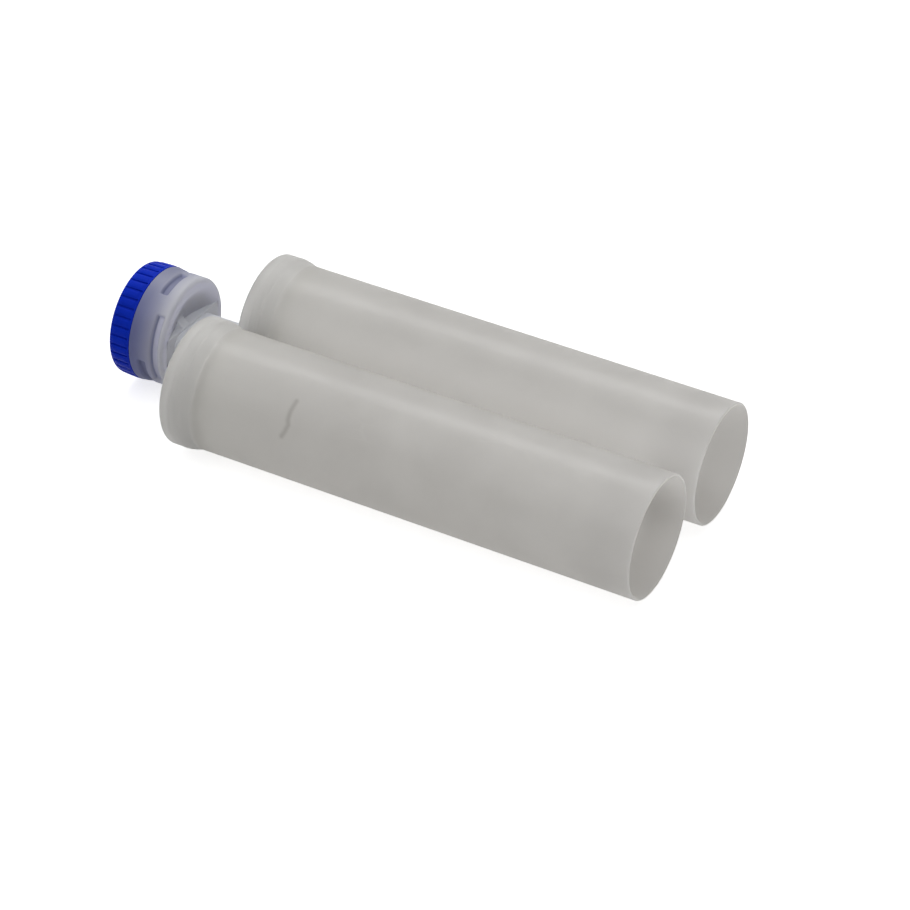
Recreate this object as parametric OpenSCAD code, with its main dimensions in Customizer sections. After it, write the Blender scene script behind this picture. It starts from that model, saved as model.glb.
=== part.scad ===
// Twin-barrel cartridge for two-part adhesive, lying on its side.
// +X points to the open rear mouths, -X to the outlet, and +Z is up.
// The origin is under the middle of the cartridge, on the surface it lies on.

/* [Barrels] */
// Outer diameter of each barrel
barrel_diameter = 43.5; // [38:0.5:60]
// Wall of each barrel
barrel_wall = 1.5; // [1:0.1:3]
// Length of each barrel tube
barrel_length = 174.5; // [80:0.5:300]
// Gap between the two barrels
barrel_gap = 6.5; // [4:0.5:16]
// Depth of the wider lead-in at each rear mouth
lead_in_depth = 5; // [3:0.5:12]
// How far the lead-in stands back from the bore
lead_in_step = 0.3; // [0.2:0.05:0.6]
// Length of the cone between the lead-in and the bore
lead_in_cone = 1; // [0.5:0.1:3]
// Bevel on the edges of each rear mouth
mouth_bevel = 0.2; // [0.1:0.05:0.3]

/* [Sockets] */
// Wall of the socket that holds each barrel's front end
socket_wall = 1.2; // [0.8:0.1:1.6]
// Straight depth of each socket
socket_depth = 3.5; // [3:0.5:15]
// Length over which the socket's end runs down to the barrel
socket_taper = 6; // [1:0.1:8]
// Height of the lip where that taper ends
socket_lip = 0.1; // [0.1:0.05:0.5]
// Wall that closes the front of each barrel
front_wall = 2.5; // [2:0.1:5]
// Rounding of each socket's front edge
socket_round = 2.2; // [1:0.1:3]
// Distance of the ring groove from each socket's front
ring_groove_place = 4.1; // [3.5:0.1:7]
// Width of the ring groove
ring_groove_width = 2; // [0.6:0.1:2.4]
// Depth of the ring groove
ring_groove_depth = 0.15; // [0.1:0.05:0.4]

/* [Stem] */
// Distance from the sockets' front to the back of the neck
stem_length = 16.3; // [8:0.1:30]
// Radius of the flow channel from each barrel
channel_radius = 2.8; // [2:0.1:3.4]
// Wall around each flow channel
channel_wall = 1.4; // [1:0.1:2]
// Distance from each flow channel to the side of the bore it drains
channel_inset = 0.25; // [0.1:0.05:1.5]

/* [Neck] */
// Outer diameter of the neck
neck_diameter = 40.5; // [38:0.5:56]
// Length of the neck
neck_length = 13.3; // [11:0.1:20]
// Wall of the neck
neck_wall = 3; // [2.3:0.1:3.2]
// Thickness of the rim at the back of the neck
neck_back_wall = 1.5; // [1.4:0.1:3]
// Rounding of the neck's back edge
neck_round = 3; // [0.6:0.1:3]
// How far the neck flares out at its front
flare_rise = 0.5; // [0.1:0.1:1]
// Length of that flare
flare_length = 3.5; // [1:0.1:5]
// Width of the flat rim round the dished back of the neck
dish_rim = 0.4; // [0.2:0.1:4]
// Depth of that dish at its middle
dish_depth = 4; // [1:0.1:4.5]
// Floor in front of the dish, which carries the two outlets
outlet_floor = 1.4; // [1:0.1:2]
// How far the web across the dish stands past the stem
web_margin = 1; // [0.4:0.1:3]
// Width of the gusset on each side of the web
gusset_width = 4; // [2:0.5:6]
// Height of the gusset on each side of the web
gusset_height = 3; // [2:0.1:7]
// Distance of each gusset from the middle of the web
gusset_offset = 4; // [0:0.5:6]

/* [Thread] */
// Rise of the two-start thread in one turn
thread_lead = 13.7; // [8:0.1:14]
// Width of each thread track in the neck
track_width = 2.4; // [1.8:0.1:3.2]
// Depth of each thread track in the neck
track_depth = 1.4; // [1.2:0.1:2]
// Space between the deep end of a track and the rim at the back of the neck
track_margin = 0.2; // [0.1:0.05:1]
// Width of the slots outside the neck
slot_width = 2.6; // [2:0.1:4]
// Skin left between the slots and the tracks inside
slot_skin = 0.4; // [0.3:0.05:0.8]
// Length of each lug on the cap, in degrees
lug_span = 40; // [20:1:50]

/* [Cap] */
// Diameter of the cap
cap_diameter = 41.6; // [36:0.2:60]
// Height of the cap's head
cap_height = 8.3; // [6:0.1:20]
// How much the head narrows from its rim to its front
cap_draft = 0.3; // [0:0.05:1]
// Rounding of the cap's front edge
cap_round = 0.9; // [0.3:0.1:2]
// Number of grip grooves
grip_groove_count = 36; // [12:1:60]
// Width of each grip groove
grip_groove_width = 0.7; // [0.3:0.1:1.2]
// Depth of each grip groove
grip_groove_depth = 0.4; // [0.1:0.05:0.8]
// Height of the plain rim under the grip grooves
cap_rim = 0.6; // [0.3:0.1:2]
// Front wall of the cap
cap_front_wall = 2.5; // [1.5:0.1:4]
// Depth of the recess in the cap's front
cap_recess_depth = 1.2; // [0.4:0.1:2.5]
// Width of the border round that recess
cap_border = 3.4; // [2:0.1:8]
// Wall of the cap's hollow shank
shank_wall = 1.6; // [1:0.1:2]

/* [Stopper] */
// Thickness of the stopper's plate
stopper_thickness = 3; // [2:0.1:4]
// Thickness of the gasket under the plate
gasket_thickness = 1; // [0.5:0.1:2]
// How far the prongs reach into the outlets
prong_reach = 4; // [2:0.1:7]
// Bevel at the tip of each prong
prong_bevel = 0.8; // [0.3:0.1:1.5]
// Radius of the swivel stem that the cap turns on
swivel_radius = 3; // [2:0.1:4]
// Length of the swivel's bearing in the cap
swivel_bearing = 2.5; // [1.5:0.1:4]
// How far the swivel's snap collar stands out
swivel_collar_rise = 0.9; // [0.4:0.1:1.5]
// Height of the snap collar
swivel_collar_height = 1.5; // [0.8:0.1:2.5]
// Wall of the boss that holds the swivel
boss_wall = 2.4; // [1.5:0.1:5]

/* [Pistons] */
// Length of each piston
piston_length = 14; // [13:0.5:24]
// Thickness of each piston's face
piston_face = 3; // [2.4:0.1:3.6]
// Wall of each piston's skirt below its ring groove
piston_skirt = 1.8; // [1.2:0.1:3]
// Relief between the two lands of each piston
piston_relief = 0.5; // [0.2:0.1:1.2]
// Length of the rear land of each piston
piston_rear_land = 2.5; // [1.5:0.1:4]
// Radius of the O-ring's round section
ring_section = 0.9; // [0.6:0.05:1.1]
// Distance from the piston's front to the O-ring's groove
ring_place = 2.8; // [1.5:0.1:4]
// Length of the land behind the O-ring
ring_land = 2; // [1:0.1:3]
// Number of ribs behind each piston's face
piston_rib_count = 6; // [3:1:12]
// Thickness of each rib
piston_rib = 1.6; // [1:0.1:2.5]
// Length of the hub behind each piston's face
hub_length = 6.5; // [4:0.1:7]
// Wall of the hub
hub_wall = 3.4; // [1.5:0.1:6]

/* [Vent pins] */
// Radius of each vent pin's shaft
vent_radius = 1.7; // [1.2:0.1:2.2]
// How far the pin's head stands out from its shaft
vent_head_rise = 1.9; // [1:0.1:3]
// Thickness of the pin's head
vent_head_height = 1.2; // [0.6:0.1:1.2]
// How far the pin is pushed to open the vent
vent_travel = 1.4; // [0.5:0.1:1.5]
// How far the pin's keeper stands out from its shaft
vent_keeper_rise = 0.9; // [0.4:0.1:1.5]
// Thickness of the keeper
vent_keeper_height = 1; // [0.6:0.1:1.5]
// Length of the tip behind the keeper
vent_tip = 0.6; // [0.2:0.1:1]

/* [Fits] */
// Radial clearance of parts that turn or slide in each other
running_clearance = 0.08; // [0.02:0.01:0.1]
// Clearance between parts that only pass each other
free_clearance = 0.3; // [0.2:0.05:0.4]
// Radial clearance of the welded socket joint
weld_clearance = 0.05; // [0.02:0.01:0.1]
// Gap between a moving part and the seat it rests on
seat_gap = 0.1; // [0.05:0.05:0.2]
// Gap between each piston and the front wall when a barrel is empty
piston_gap = 0.5; // [0.3:0.1:3]

/* [Hidden] */

$fn = 96;
// Overrun of every cut past the face that it opens, and overlap of joined shapes
overrun = 0.5;
// Steps of the round taper at each socket's end
taper_steps = 8;
// Steps of the dish's round slope
dish_steps = 12;
// Power of the dish's curve: 1 is a parabola, and more gives it a softer rim
dish_power = 1.2;
// Longest piece of a thread track, in degrees
track_step = 45;
// Overlap of neighbouring pieces of a track, in degrees
track_lap = 1;
// Direction of the deep end of the first track, in degrees from the top of the neck
thread_phase = -100;
// Starts of the thread
thread_starts = 2;
// Where the slots over each track start and end, in degrees from its deep end
slot_spans = [[0, 53], [76, 121], [130, 179]];
// Turn between a lug and the deep end of its track, in degrees
lug_margin = 5;

natural_colour = [0.80, 0.80, 0.77];
cap_colour = [0.06, 0.13, 0.66];
stopper_colour = [0.05, 0.11, 0.62];
gasket_colour = [0.35, 0.36, 0.38];
piston_colour = [0.86, 0.86, 0.84];
ring_colour = [0.55, 0.55, 0.54];
pin_colour = [0.78, 0.79, 0.80];

barrel_radius = barrel_diameter / 2;
bore_radius = barrel_radius - barrel_wall;
lead_in_radius = bore_radius + lead_in_step;
axis_offset = (barrel_diameter + barrel_gap) / 2;

socket_bore = barrel_radius + weld_clearance;
socket_radius = socket_bore + socket_wall;
socket_straight = front_wall + socket_depth;
socket_end = socket_straight + socket_taper;

stem_radius = channel_radius + channel_wall;
channel_offset = axis_offset - bore_radius + channel_inset + channel_radius;

neck_radius = neck_diameter / 2;
neck_bore = neck_radius - neck_wall;
flare_radius = neck_radius + flare_rise;
shank_radius = neck_bore - free_clearance;
shank_bore = shank_radius - shank_wall;
platform_radius = shank_bore - free_clearance;
platform_height = dish_depth + outlet_floor;
dish_radius = neck_radius - neck_round - dish_rim;
web_half_height = stem_radius + web_margin;

track_radius = neck_bore + track_depth;
track_start = neck_back_wall + track_margin + track_width / 2;
track_turn = 360 * (neck_length + track_width - track_start) / thread_lead;
thread_tilt = atan(thread_lead / (2 * PI * neck_bore));
run_count = ceil(track_turn / track_step);
run_angle = track_turn / run_count;
slot_floor = track_radius + slot_skin;
lug_radius = track_radius - free_clearance;
lug_width = track_width - 2 * free_clearance;
lug_end = lug_margin + lug_span;

cap_radius = cap_diameter / 2;
cap_base = neck_length + seat_gap;
cap_top = cap_base + cap_height;
cap_ceiling = cap_top - cap_recess_depth - cap_front_wall;
shank_tip = neck_back_wall + free_clearance;

gasket_base = platform_height + seat_gap;
stopper_base = gasket_base + gasket_thickness;
stopper_top = stopper_base + stopper_thickness;
stopper_radius = shank_bore - free_clearance;
prong_radius = channel_radius - running_clearance;
boss_tip = stopper_top + free_clearance;
bearing_top = boss_tip + swivel_bearing;
collar_base = bearing_top + seat_gap;
collar_top = collar_base + swivel_collar_height;
collar_radius = swivel_radius + swivel_collar_rise;
collar_space = collar_radius + free_clearance;
boss_radius = collar_space + boss_wall;

piston_radius = bore_radius - running_clearance;
ring_radius = bore_radius - running_clearance / 2 - ring_section;
ring_groove_floor = ring_radius - ring_section - weld_clearance;
ring_groove_end = ring_place + 2 * ring_section + 2 * weld_clearance;
skirt_bore = ring_groove_floor - piston_skirt;
vent_bore = vent_radius + running_clearance;
vent_head_radius = vent_radius + vent_head_rise;
vent_recess = vent_head_radius + free_clearance;
hub_radius = vent_bore + hub_wall;
hub_end = piston_face + hub_length;
vent_head_base = piston_face - seat_gap - vent_head_height;
vent_keeper_base = hub_end + vent_travel + seat_gap;
vent_end = vent_keeper_base + vent_keeper_height + vent_tip;

rear_x = (barrel_length + front_wall + stem_length + cap_top) / 2;
barrel_front_x = rear_x - barrel_length;
socket_front_x = barrel_front_x - front_wall;
neck_back_x = socket_front_x - stem_length;
axis_height = socket_radius;

near_side = -1;
far_side = 1;

// Local Z runs rearwards along a barrel's axis, from the barrel's front end.
module at_barrel(side) {
    translate([barrel_front_x, side * axis_offset, axis_height])
        rotate([0, 90, 0])
            children();
}

// Local Z runs forwards along the neck's axis, from the back of the neck, with local X up.
module at_neck() {
    translate([neck_back_x, 0, axis_height])
        rotate([0, -90, 0])
            children();
}

// A disc or tube with its lower edge bevelled on the outside.
module bevelled_cylinder(height, radius, bevel) {
    cylinder(h = bevel, r1 = radius - bevel, r2 = radius);
    translate([0, 0, bevel])
        cylinder(h = height - bevel, r = radius);
}

// Part of a ring on every track, at a tilt, between two angles from the track's deep end.
module thread_piece(inner, outer, width, tilt, from, to) {
    middle = (from + to) / 2;
    for (start = [0:thread_starts - 1])
        rotate([0, 0, thread_phase + middle + start * 360 / thread_starts])
            translate([0, 0, track_start + thread_lead * middle / 360])
                rotate([tilt, 0, 0])
                    rotate([0, 0, (from - to) / 2])
                        rotate_extrude(angle = to - from)
                            translate([inner, -width / 2])
                                square([outer - inner, width]);
}

// Barrel tube with a wider lead-in at its rear mouth.
module barrel(side) {
    color(natural_colour)
        at_barrel(side)
            rotate_extrude()
                polygon([
                    [bore_radius, 0],
                    [barrel_radius, 0],
                    [barrel_radius, barrel_length - mouth_bevel],
                    [barrel_radius - mouth_bevel, barrel_length],
                    [lead_in_radius + mouth_bevel, barrel_length],
                    [lead_in_radius, barrel_length - mouth_bevel],
                    [lead_in_radius, barrel_length - lead_in_depth],
                    [bore_radius, barrel_length - lead_in_depth - lead_in_cone]
                ]);
}

module near_barrel() { barrel(near_side); }

module far_barrel() { barrel(far_side); }

// Solid outside of one socket, from its rounded front to its tapered end.
module socket_body() {
    lip_radius = socket_bore + socket_lip;
    rotate_extrude() {
        polygon([
            [0, 0],
            [socket_radius - socket_round, 0],
            [socket_radius - socket_round, socket_round],
            [socket_radius, socket_round],
            for (step = [0:taper_steps])
                let (fall = (1 - cos(180 * step / taper_steps)) / 2)
                    [
                        socket_radius - fall * (socket_radius - lip_radius),
                        socket_straight + socket_taper * step / taper_steps
                    ],
            [0, socket_end]
        ]);
        translate([socket_radius - socket_round, socket_round])
            circle(r = socket_round);
    }
}

// Shallow groove that runs round each socket.
module ring_groove() {
    flank = ring_groove_width / 2 * (ring_groove_depth + overrun) / ring_groove_depth;
    rotate_extrude()
        polygon([
            [socket_radius - ring_groove_depth, ring_groove_place],
            [socket_radius + overrun, ring_groove_place - flank],
            [socket_radius + overrun, ring_groove_place + flank]
        ]);
}

// Solid outside of the neck, with its rounded back edge and its flared front.
module neck_body() {
    rotate_extrude() {
        polygon([
            [0, 0],
            [neck_radius - neck_round, 0],
            [neck_radius - neck_round, neck_round],
            [neck_radius, neck_round],
            [neck_radius, neck_length - flare_length],
            [flare_radius, neck_length],
            [0, neck_length]
        ]);
        translate([neck_radius - neck_round, neck_round])
            circle(r = neck_round);
    }
}

// The dish in the back of the neck, on both sides of the web and of its gussets.
module neck_dish() {
    gusset_reach = web_half_height + gusset_height;
    difference() {
        rotate_extrude()
            polygon([
                [0, -overrun],
                for (step = [0:dish_steps])
                    let (share = 1 - step / dish_steps)
                        [dish_radius * share, dish_depth * pow(1 - share * share, dish_power)]
            ]);
        cube([2 * web_half_height, 2 * neck_diameter, 2 * neck_length], center = true);
        for (turn = [0, 180])
            rotate([0, 0, turn])
                translate([0, -gusset_offset, 0])
                    rotate([90, 0, 0])
                        linear_extrude(height = gusset_width, center = true)
                            polygon([
                                [0, 0],
                                [web_half_height, 0],
                                [gusset_reach, dish_depth],
                                [0, dish_depth]
                            ]);
    }
}

// Space inside the neck for the cap's shank and for the stopper on its platform.
module neck_cavity() {
    difference() {
        translate([0, 0, neck_back_wall])
            cylinder(h = neck_length, r = neck_bore);
        cylinder(h = platform_height, r = platform_radius);
    }
}

// Thread tracks inside the neck, and the straight blind slots outside them.
module thread_tracks() {
    for (span = slot_spans)
        thread_piece(slot_floor, flare_radius + overrun, slot_width, 0, span[0], span[1]);
    for (run = [1:run_count]) {
        start = (run - 1) * run_angle - track_lap;
        end = run * run_angle + track_lap;
        thread_piece(neck_bore - overrun, track_radius, track_width, thread_tilt, start, end);
    }
}

// Moulding that holds both barrels, carries their two channels forwards and ends in the neck.
module outlet_head() {
    color(natural_colour)
        difference() {
            union() {
                for (side = [near_side, far_side]) {
                    translate([-front_wall, 0, 0])
                        at_barrel(side)
                            socket_body();
                    translate([neck_back_x - overrun, side * channel_offset, axis_height])
                        rotate([0, 90, 0])
                            cylinder(h = stem_length + 2 * overrun, r = stem_radius);
                }
                translate([neck_back_x - overrun, -channel_offset, axis_height - stem_radius])
                    cube([stem_length + 2 * overrun, 2 * channel_offset, 2 * stem_radius]);
                translate([socket_front_x, -axis_offset, axis_height - stem_radius])
                    cube([socket_straight, 2 * axis_offset, 2 * stem_radius]);
                at_neck()
                    neck_body();
            }
            for (side = [near_side, far_side]) {
                at_barrel(side)
                    cylinder(h = socket_end, r = socket_bore);
                translate([-front_wall, 0, 0])
                    at_barrel(side)
                        ring_groove();
                translate([neck_back_x - neck_length, side * channel_offset, axis_height])
                    rotate([0, 90, 0])
                        cylinder(h = neck_length + stem_length + front_wall + overrun, r = channel_radius);
            }
            at_neck() {
                neck_dish();
                neck_cavity();
                thread_tracks();
            }
        }
}

// Grooved head of the cap, with a recess in its front.
module cap_head() {
    front_radius = cap_radius - cap_draft;
    recess = front_radius - cap_border;
    difference() {
        rotate_extrude() {
            polygon([
                [0, cap_base],
                [cap_radius, cap_base],
                [front_radius, cap_top - cap_round],
                [front_radius - cap_round, cap_top - cap_round],
                [front_radius - cap_round, cap_top],
                [0, cap_top]
            ]);
            translate([front_radius - cap_round, cap_top - cap_round])
                circle(r = cap_round);
        }
        translate([0, 0, cap_top - cap_recess_depth])
            cylinder(h = cap_recess_depth + overrun, r1 = recess, r2 = recess + overrun);
        for (groove = [0:grip_groove_count - 1])
            rotate([0, 0, 360 * groove / grip_groove_count])
                translate([front_radius - grip_groove_depth, -grip_groove_width / 2, cap_base + cap_rim])
                    cube([cap_draft + grip_groove_depth + overrun, grip_groove_width, cap_height]);
    }
}

// Screw cap: grooved head, hollow shank with two lugs, and the boss that holds the swivel.
module screw_cap() {
    color(cap_colour)
        at_neck() {
            difference() {
                union() {
                    cap_head();
                    translate([0, 0, shank_tip])
                        cylinder(h = cap_base - shank_tip + overrun, r = shank_radius);
                    thread_piece(
                        shank_bore + overrun, lug_radius, lug_width, thread_tilt, lug_margin, lug_end
                    );
                }
                translate([0, 0, shank_tip - overrun])
                    cylinder(h = cap_ceiling - shank_tip + overrun, r = shank_bore);
            }
            difference() {
                translate([0, 0, boss_tip])
                    cylinder(h = cap_ceiling - boss_tip + overrun, r = boss_radius);
                translate([0, 0, boss_tip - overrun])
                    cylinder(h = swivel_bearing + 2 * overrun, r = swivel_radius + running_clearance);
                translate([0, 0, bearing_top])
                    cylinder(h = collar_top - bearing_top + free_clearance, r = collar_space);
            }
        }
}

// Stopper that closes both outlets, with the swivel stem that the cap turns on.
module outlet_stopper() {
    prong_tip = platform_height - prong_reach;
    color(stopper_colour)
        at_neck() {
            translate([0, 0, stopper_base])
                cylinder(h = stopper_thickness, r = stopper_radius);
            for (side = [near_side, far_side])
                translate([0, side * channel_offset, prong_tip])
                    bevelled_cylinder(stopper_base - prong_tip + overrun, prong_radius, prong_bevel);
            translate([0, 0, stopper_top - overrun])
                cylinder(h = collar_top - stopper_top + overrun, r = swivel_radius);
            translate([0, 0, collar_base])
                cylinder(h = swivel_collar_height, r1 = collar_radius, r2 = swivel_radius);
        }
}

// Flat gasket between the stopper's plate and the outlets.
module stopper_gasket() {
    color(gasket_colour)
        at_neck()
            difference() {
                translate([0, 0, gasket_base])
                    cylinder(h = gasket_thickness, r = stopper_radius);
                for (side = [near_side, far_side])
                    translate([0, side * channel_offset, gasket_base - overrun])
                        cylinder(h = gasket_thickness + 2 * overrun, r = prong_radius + weld_clearance);
            }
}

// Piston with a ring groove, a skirt, and a ribbed hub for its vent pin.
module piston(side) {
    relief_radius = piston_radius - piston_relief;
    relief_start = ring_groove_end + ring_land;
    relief_end = piston_length - piston_rear_land;
    color(piston_colour)
        translate([piston_gap, 0, 0])
            at_barrel(side)
                difference() {
                    union() {
                        rotate_extrude()
                            polygon([
                                [0, 0],
                                [piston_radius, 0],
                                [piston_radius, ring_place],
                                [ring_groove_floor, ring_place],
                                [ring_groove_floor, ring_groove_end],
                                [piston_radius, ring_groove_end],
                                [piston_radius, relief_start],
                                [relief_radius, relief_start],
                                [relief_radius, relief_end],
                                [piston_radius, relief_end],
                                [piston_radius, piston_length],
                                [skirt_bore, piston_length],
                                [skirt_bore, piston_face],
                                [hub_radius, piston_face],
                                [hub_radius, hub_end],
                                [0, hub_end]
                            ]);
                        for (rib = [0:piston_rib_count - 1])
                            rotate([0, 0, 360 * rib / piston_rib_count])
                                translate([vent_recess, -piston_rib / 2, piston_face - overrun])
                                    cube([skirt_bore - vent_recess + overrun, piston_rib, hub_length]);
                    }
                    translate([0, 0, -overrun])
                        cylinder(h = piston_face + overrun, r = vent_recess);
                    cylinder(h = hub_end + overrun, r = vent_bore);
                }
}

module near_piston() { piston(near_side); }

module far_piston() { piston(far_side); }

// O-ring in a piston's groove.
module piston_ring(side) {
    color(ring_colour)
        translate([piston_gap, 0, 0])
            at_barrel(side)
                translate([0, 0, (ring_place + ring_groove_end) / 2])
                    rotate_extrude()
                        translate([ring_radius, 0])
                            circle(r = ring_section);
}

module near_piston_ring() { piston_ring(near_side); }

module far_piston_ring() { piston_ring(far_side); }

// Vent pin: a head in the piston's face, a shaft through its hub and a keeper behind it.
module vent_pin(side) {
    color(pin_colour)
        translate([piston_gap, 0, 0])
            at_barrel(side) {
                translate([0, 0, vent_head_base])
                    cylinder(h = vent_head_height, r = vent_head_radius);
                translate([0, 0, vent_head_base])
                    cylinder(h = vent_end - vent_head_base, r = vent_radius);
                translate([0, 0, vent_keeper_base])
                    cylinder(h = vent_keeper_height, r1 = vent_radius + vent_keeper_rise, r2 = vent_radius);
            }
}

module near_vent_pin() { vent_pin(near_side); }

module far_vent_pin() { vent_pin(far_side); }

near_barrel();
far_barrel();
outlet_head();
screw_cap();
outlet_stopper();
stopper_gasket();
near_piston();
far_piston();
near_piston_ring();
far_piston_ring();
near_vent_pin();
far_vent_pin();
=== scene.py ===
"""Dresses a twin-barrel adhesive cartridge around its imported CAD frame.

The barrels, the collars, the neck, the stem and the cap's grip pads are made here, each by its own class.
The other pieces are CAD nodes with rounded edges.
Everything is in metres: +X runs to the open rear mouths, +Z is up, the near barrel is at -Y.
"""

import logging
import math
from dataclasses import dataclass, field, replace
from enum import Enum
from functools import partial, reduce
from typing import Sequence

import bmesh
import bpy
from bpy.types import Material, Mesh, Node, NodeSocket, Object
from mathutils import Matrix, Vector


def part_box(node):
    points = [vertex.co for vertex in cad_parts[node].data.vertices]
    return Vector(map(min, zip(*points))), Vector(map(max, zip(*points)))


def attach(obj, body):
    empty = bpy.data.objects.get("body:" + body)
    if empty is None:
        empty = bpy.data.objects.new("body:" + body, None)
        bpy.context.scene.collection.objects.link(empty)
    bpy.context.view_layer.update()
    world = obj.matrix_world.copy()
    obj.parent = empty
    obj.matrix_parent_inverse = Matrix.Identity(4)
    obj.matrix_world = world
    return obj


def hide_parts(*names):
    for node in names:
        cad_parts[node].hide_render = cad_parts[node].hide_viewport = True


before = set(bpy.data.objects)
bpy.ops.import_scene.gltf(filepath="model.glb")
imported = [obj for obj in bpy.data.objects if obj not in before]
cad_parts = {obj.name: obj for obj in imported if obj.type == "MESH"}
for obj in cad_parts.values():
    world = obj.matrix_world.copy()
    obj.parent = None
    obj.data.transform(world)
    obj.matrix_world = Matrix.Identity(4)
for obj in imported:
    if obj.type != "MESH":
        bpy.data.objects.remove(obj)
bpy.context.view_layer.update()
LOG = logging.getLogger("cartridge")
MM = 0.001

Colour = tuple[float, float, float, float]


class Body(Enum):
    """The moving bodies of the cartridge."""

    CARTRIDGE = "cartridge"
    STOPPER = "stopper"
    CAP = "cap"
    NEAR_PLUNGER = "near_plunger"
    FAR_PLUNGER = "far_plunger"
    NEAR_VENT = "near_vent"
    FAR_VENT = "far_vent"


class Slot(Enum):
    """The record's material slots."""

    BARREL = "barrel_plastic"
    HEAD = "head_plastic"
    CAP = "cap_plastic"
    STOPPER = "stopper_plastic"
    GASKET = "gasket_rubber"
    PISTON = "piston_plastic"
    RING = "ring_rubber"
    PIN = "pin_plastic"


class Cut(Enum):
    """Ways to work one solid on another."""

    JOIN = "UNION"
    TAKE_AWAY = "DIFFERENCE"


def srgb(red: float, green: float, blue: float) -> Colour:
    """Turns a screen colour of 0 to 255 into the linear colour that a shader takes."""
    def linear(value: float) -> float:
        """Gives the linear value of one screen channel."""
        share = value / 255
        return share / 12.92 if share <= 0.04045 else ((share + 0.055) / 1.055) ** 2.4

    return (linear(red), linear(green), linear(blue), 1.0)


def socket_name(key: str) -> str:
    """Gives the socket that a keyword in lower case with underscores stands for."""
    return key.replace("_", " ").title()


class Wiring:
    """A node tree with short ways to add and join nodes."""

    def __init__(self, tree: bpy.types.NodeTree) -> None:
        """Keeps the tree that nodes go into."""
        self.tree = tree

    def add(self, kind: str, inputs: dict[str | int, object] | None = None, **settings: object) -> Node:
        """Adds a node.

        Args:
            kind: The node's type name.
            inputs: A plain value, or the socket that feeds it, for inputs by name or number.
            settings: Properties to set on the node.

        Returns:
            The new node.
        """
        node = self.tree.nodes.new(kind)
        for key, value in settings.items():
            setattr(node, key, value)
        for socket, value in (inputs or {}).items():
            if isinstance(value, NodeSocket):
                self.tree.links.new(value, node.inputs[socket])
            else:
                node.inputs[socket].default_value = value
        return node

    def math(self, operation: str, *values: object) -> NodeSocket:
        """Adds a Math node with these inputs and gives its result."""
        return self.add("ShaderNodeMath", dict(enumerate(values)), operation=operation).outputs[0]

    def fold(self, operation: str, values: Sequence[object]) -> NodeSocket:
        """Takes a Math operation through a row of values."""
        return reduce(partial(self.math, operation), values)

    def times(self, *values: object) -> NodeSocket:
        """Multiplies values."""
        return self.fold("MULTIPLY", values)

    def plus(self, *values: object) -> NodeSocket:
        """Adds values up."""
        return self.fold("ADD", values)

    def less(self, value: object, taken: object) -> NodeSocket:
        """Takes one value from another."""
        return self.math("SUBTRACT", value, taken)

    def length(self, first: object, second: object) -> NodeSocket:
        """Gives the length of two values that stand square to each other."""
        squares = [self.math("POWER", value, 2.0) for value in (first, second)]
        return self.math("SQRT", self.plus(*squares))

    def vector(self, operation: str, *values: object) -> Node:
        """Adds a Vector Math node, whose outputs are named Vector and Value."""
        return self.add("ShaderNodeVectorMath", dict(enumerate(values)), operation=operation)

    def split(self, vector: NodeSocket) -> list[NodeSocket]:
        """Gives the X, Y and Z of a vector."""
        return list(self.add("ShaderNodeSeparateXYZ", {0: vector}).outputs)

    def join(self, x: object, y: object = 0.0, z: object = 0.0) -> NodeSocket:
        """Gives the vector with this X, Y and Z."""
        return self.add("ShaderNodeCombineXYZ", {0: x, 1: y, 2: z}).outputs[0]

    def mix(self, share: object, low: object, high: object) -> NodeSocket:
        """Mixes a share of the second colour into the first. A Mix node's colours go by number."""
        return self.add("ShaderNodeMix", {0: share, 6: low, 7: high}, data_type="RGBA").outputs[2]

    def ramp(self, value: object, low: object, high: object) -> NodeSocket:
        """Rises smoothly from 0 to 1 while a value goes from one limit to the other."""
        limits = {0: value, 1: low, 2: high}
        return self.add("ShaderNodeMapRange", limits, interpolation_type="SMOOTHSTEP").outputs[0]

    def noise(self, place: NodeSocket, scale: float, detail: float) -> NodeSocket:
        """Adds a noise pattern with a scale in waves to the metre and a number of finer layers."""
        pattern = {"Vector": place, "Scale": scale, "Detail": detail}
        return self.add("ShaderNodeTexNoise", pattern).outputs[0]

    def stretched(self, place: NodeSocket, scale: Sequence[float],
                  turn: Sequence[float] = (0.0, 0.0, 0.0)) -> NodeSocket:
        """Scales the coordinates of a pattern on each axis and turns them, in radians."""
        change = {"Vector": place, "Rotation": turn, "Scale": scale}
        return self.add("ShaderNodeMapping", change, vector_type="POINT").outputs[0]


def cleared(owner: Material | bpy.types.World) -> Wiring:
    """Gives the emptied node tree of a material or a world."""
    owner.use_nodes = True
    owner.node_tree.nodes.clear()
    return Wiring(owner.node_tree)


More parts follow.
